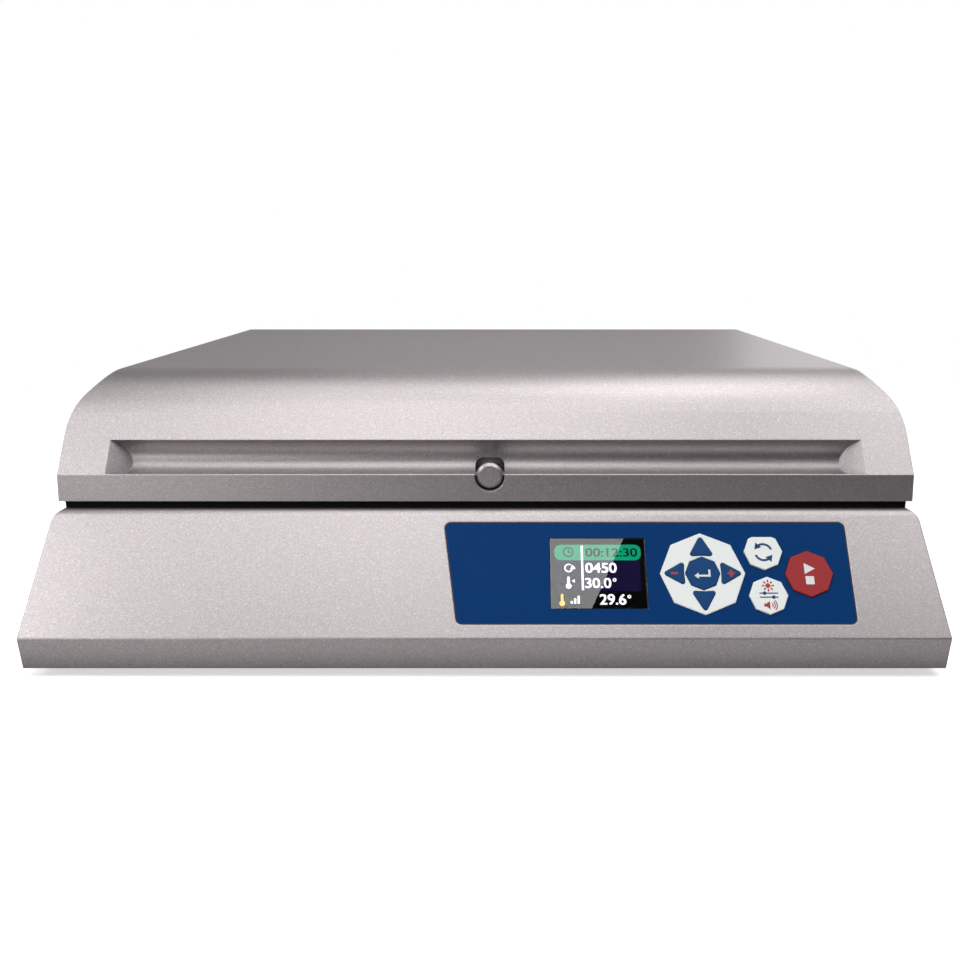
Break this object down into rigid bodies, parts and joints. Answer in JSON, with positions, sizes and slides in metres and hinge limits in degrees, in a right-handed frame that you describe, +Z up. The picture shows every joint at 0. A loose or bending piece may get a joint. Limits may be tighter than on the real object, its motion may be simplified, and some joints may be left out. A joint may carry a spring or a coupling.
{
  "type": "incubated benchtop shaker",
  "caption": "Low incubated shaker with a hinged rounded lid over an orbiting plate platform, and a sloping front panel with a lit screen and keys.",
  "frame": {"origin": "bottom centre of the whole object, on the surface its feet stand on", "axes": "+X right along the control panel, +Y to the back, +Z up"},
  "size_m": [0.42, 0.373, 0.131],
  "materials": {
    "casing_paint": "fine-grained pearl silver-grey paint",
    "bottom_steel": "dark powder coat",
    "foot_rubber": "matt",
    "screw_steel": "zinc plated",
    "tray_aluminium": "satin drawn sheet",
    "heater_silicone": "matt silicone",
    "foam": "closed-cell foam",
    "probe_steel": "polished",
    "gasket_rubber": "matt",
    "keeper_steel": "satin",
    "overlay_blue": "fine satin film",
    "key_white": "fine textured",
    "key_blue": "fine textured",
    "key_red": "fine textured",
    "window_clear": "clear",
    "screen": "lit display",
    "board_green": "solder mask",
    "switch_black": "moulded",
    "inlet_black": "moulded",
    "pin_brass": "nickel-bright",
    "rocker_black": "moulded",
    "rating_foil": "brushed foil",
    "plate_aluminium": "machined",
    "bearing_steel": "polished",
    "motor_black": "black coat",
    "shaft_steel": "ground",
    "belt_rubber": "matt",
    "weight_brass": "sawn",
    "platform_aluminium": "bead-blasted anodised",
    "clip_steel": "spring steel",
    "lid_paint": "fine-grained pearl silver-grey paint",
    "liner_aluminium": "satin drawn sheet",
    "button_paint": "fine-grained pearl silver-grey paint",
    "hinge_steel": "satin"
  },
  "bodies": {
    "base": {"base_casing": "casing_paint", "bottom_plate": "bottom_steel", "rubber_feet": "foot_rubber", "base_screws": "screw_steel", "chamber_tray": "tray_aluminium", "base_heater_mat": "heater_silicone", "base_insulation": "foam", "temperature_probe": "probe_steel", "lid_gasket": "gasket_rubber", "catch_keeper": "keeper_steel", "panel_overlay": "overlay_blue", "nav_pad_face": "key_white", "key_switches": "switch_black", "control_board": "board_green", "display_window": "window_clear", "display_module": "screen", "power_inlet": "inlet_black", "inlet_pins": "pin_brass", "power_switch_housing": "switch_black", "rating_plate": "rating_foil", "power_board": "board_green", "drive_plate": "plate_aluminium", "drive_pillars": "screw_steel", "bearing_housing": "plate_aluminium", "base_bearings": "bearing_steel", "motor_body": "motor_black", "drive_belt": "belt_rubber", "hinge_leaves_base": "hinge_steel", "hinge_pins": "shaft_steel"},
    "lid": {"lid_cover": "lid_paint", "catch_spring": "clip_steel", "catch_cap": "switch_black", "lid_liner": "liner_aluminium", "lid_heater_mat": "heater_silicone", "lid_insulation": "foam", "lid_screws": "screw_steel", "hinge_leaves_lid": "hinge_steel"},
    "catch": {"catch_button": "button_paint"},
    "rocker": {"power_rocker": "rocker_black"},
    "motor_spindle": {"motor_shaft": "shaft_steel", "motor_pulley": "plate_aluminium"},
    "drive_crank": {"crank_shaft": "shaft_steel", "crank_pulley": "plate_aluminium", "counterweight": "weight_brass"},
    "platform": {"platform": "platform_aluminium", "platform_bearings": "bearing_steel", "plate_clips": "clip_steel"},
    "support_crank_1": {"support_crank_1": "shaft_steel"},
    "support_crank_2": {"support_crank_2": "shaft_steel"},
    "support_crank_3": {"support_crank_3": "shaft_steel"},
    "support_crank_4": {"support_crank_4": "shaft_steel"},
    "key_up": {"key_up": "key_blue"},
    "key_down": {"key_down": "key_blue"},
    "key_minus": {"key_minus": "key_blue"},
    "key_plus": {"key_plus": "key_blue"},
    "key_enter": {"key_enter": "key_blue"},
    "key_cycles": {"key_cycles": "key_white"},
    "key_settings": {"key_settings": "key_white"},
    "key_start_stop": {"key_start_stop": "key_red"}
  },
  "joints": [
    {"name": "lid_hinge", "type": "hinge", "parent": "base", "child": "lid", "pos_m": [0, 0.1815, 0.0734], "axis": [-1, 0, 0], "range_deg": [0, 100]},
    {"name": "catch_slide", "type": "slide", "parent": "lid", "child": "catch", "axis": [0, 1, 0], "range_m": [0, 0.0025], "stiffness_N_per_m": 400, "springref_m": -0.001, "deforming": ["catch_spring"]},
    {"name": "rocker_tilt", "type": "hinge", "parent": "base", "child": "rocker", "pos_m": [-0.088, 0.1745, 0.034], "axis": [1, 0, 0], "range_deg": [0, 20]},
    {"name": "crank_spin", "type": "hinge", "parent": "base", "child": "drive_crank", "pos_m": [0, 0.014, 0.03], "axis": [0, 0, 1], "continuous": true},
    {"name": "platform_orbit", "type": "hinge", "parent": "drive_crank", "child": "platform", "pos_m": [0.001, 0.014, 0.058], "axis": [0, 0, 1], "continuous": true},
    {"name": "motor_spin", "type": "hinge", "parent": "base", "child": "motor_spindle", "pos_m": [0, 0.086, 0.03], "axis": [0, 0, 1], "continuous": true},
    {"name": "support_spin_1", "type": "hinge", "parent": "base", "child": "support_crank_1", "pos_m": [-0.118, -0.062, 0.03], "axis": [0, 0, 1], "continuous": true},
    {"name": "support_spin_2", "type": "hinge", "parent": "base", "child": "support_crank_2", "pos_m": [0.118, -0.062, 0.03], "axis": [0, 0, 1], "continuous": true},
    {"name": "support_spin_3", "type": "hinge", "parent": "base", "child": "support_crank_3", "pos_m": [-0.118, 0.09, 0.03], "axis": [0, 0, 1], "continuous": true},
    {"name": "support_spin_4", "type": "hinge", "parent": "base", "child": "support_crank_4", "pos_m": [0.118, 0.09, 0.03], "axis": [0, 0, 1], "continuous": true},
    {"name": "key_up_press", "type": "slide", "parent": "base", "child": "key_up", "axis": [0, 0.809, -0.5878], "range_m": [0, 0.0005], "stiffness_N_per_m": 500, "springref_m": -0.0005},
    {"name": "key_down_press", "type": "slide", "parent": "base", "child": "key_down", "axis": [0, 0.809, -0.5878], "range_m": [0, 0.0005], "stiffness_N_per_m": 500, "springref_m": -0.0005},
    {"name": "key_minus_press", "type": "slide", "parent": "base", "child": "key_minus", "axis": [0, 0.809, -0.5878], "range_m": [0, 0.0005], "stiffness_N_per_m": 500, "springref_m": -0.0005},
    {"name": "key_plus_press", "type": "slide", "parent": "base", "child": "key_plus", "axis": [0, 0.809, -0.5878], "range_m": [0, 0.0005], "stiffness_N_per_m": 500, "springref_m": -0.0005},
    {"name": "key_enter_press", "type": "slide", "parent": "base", "child": "key_enter", "axis": [0, 0.809, -0.5878], "range_m": [0, 0.0005], "stiffness_N_per_m": 500, "springref_m": -0.0005},
    {"name": "key_cycles_press", "type": "slide", "parent": "base", "child": "key_cycles", "axis": [0, 0.809, -0.5878], "range_m": [0, 0.0005], "stiffness_N_per_m": 500, "springref_m": -0.0005},
    {"name": "key_settings_press", "type": "slide", "parent": "base", "child": "key_settings", "axis": [0, 0.809, -0.5878], "range_m": [0, 0.0005], "stiffness_N_per_m": 500, "springref_m": -0.0005},
    {"name": "key_start_stop_press", "type": "slide", "parent": "base", "child": "key_start_stop", "axis": [0, 0.809, -0.5878], "range_m": [0, 0.0005], "stiffness_N_per_m": 500, "springref_m": -0.0005}
  ],
  "couplings": [
    {"joint": "platform_orbit", "follows": "crank_spin", "ratio": -1},
    {"joint": "motor_spin", "follows": "crank_spin", "ratio": 3},
    {"joint": "support_spin_1", "follows": "crank_spin", "ratio": 1},
    {"joint": "support_spin_2", "follows": "crank_spin", "ratio": 1},
    {"joint": "support_spin_3", "follows": "crank_spin", "ratio": 1},
    {"joint": "support_spin_4", "follows": "crank_spin", "ratio": 1}
  ]
}
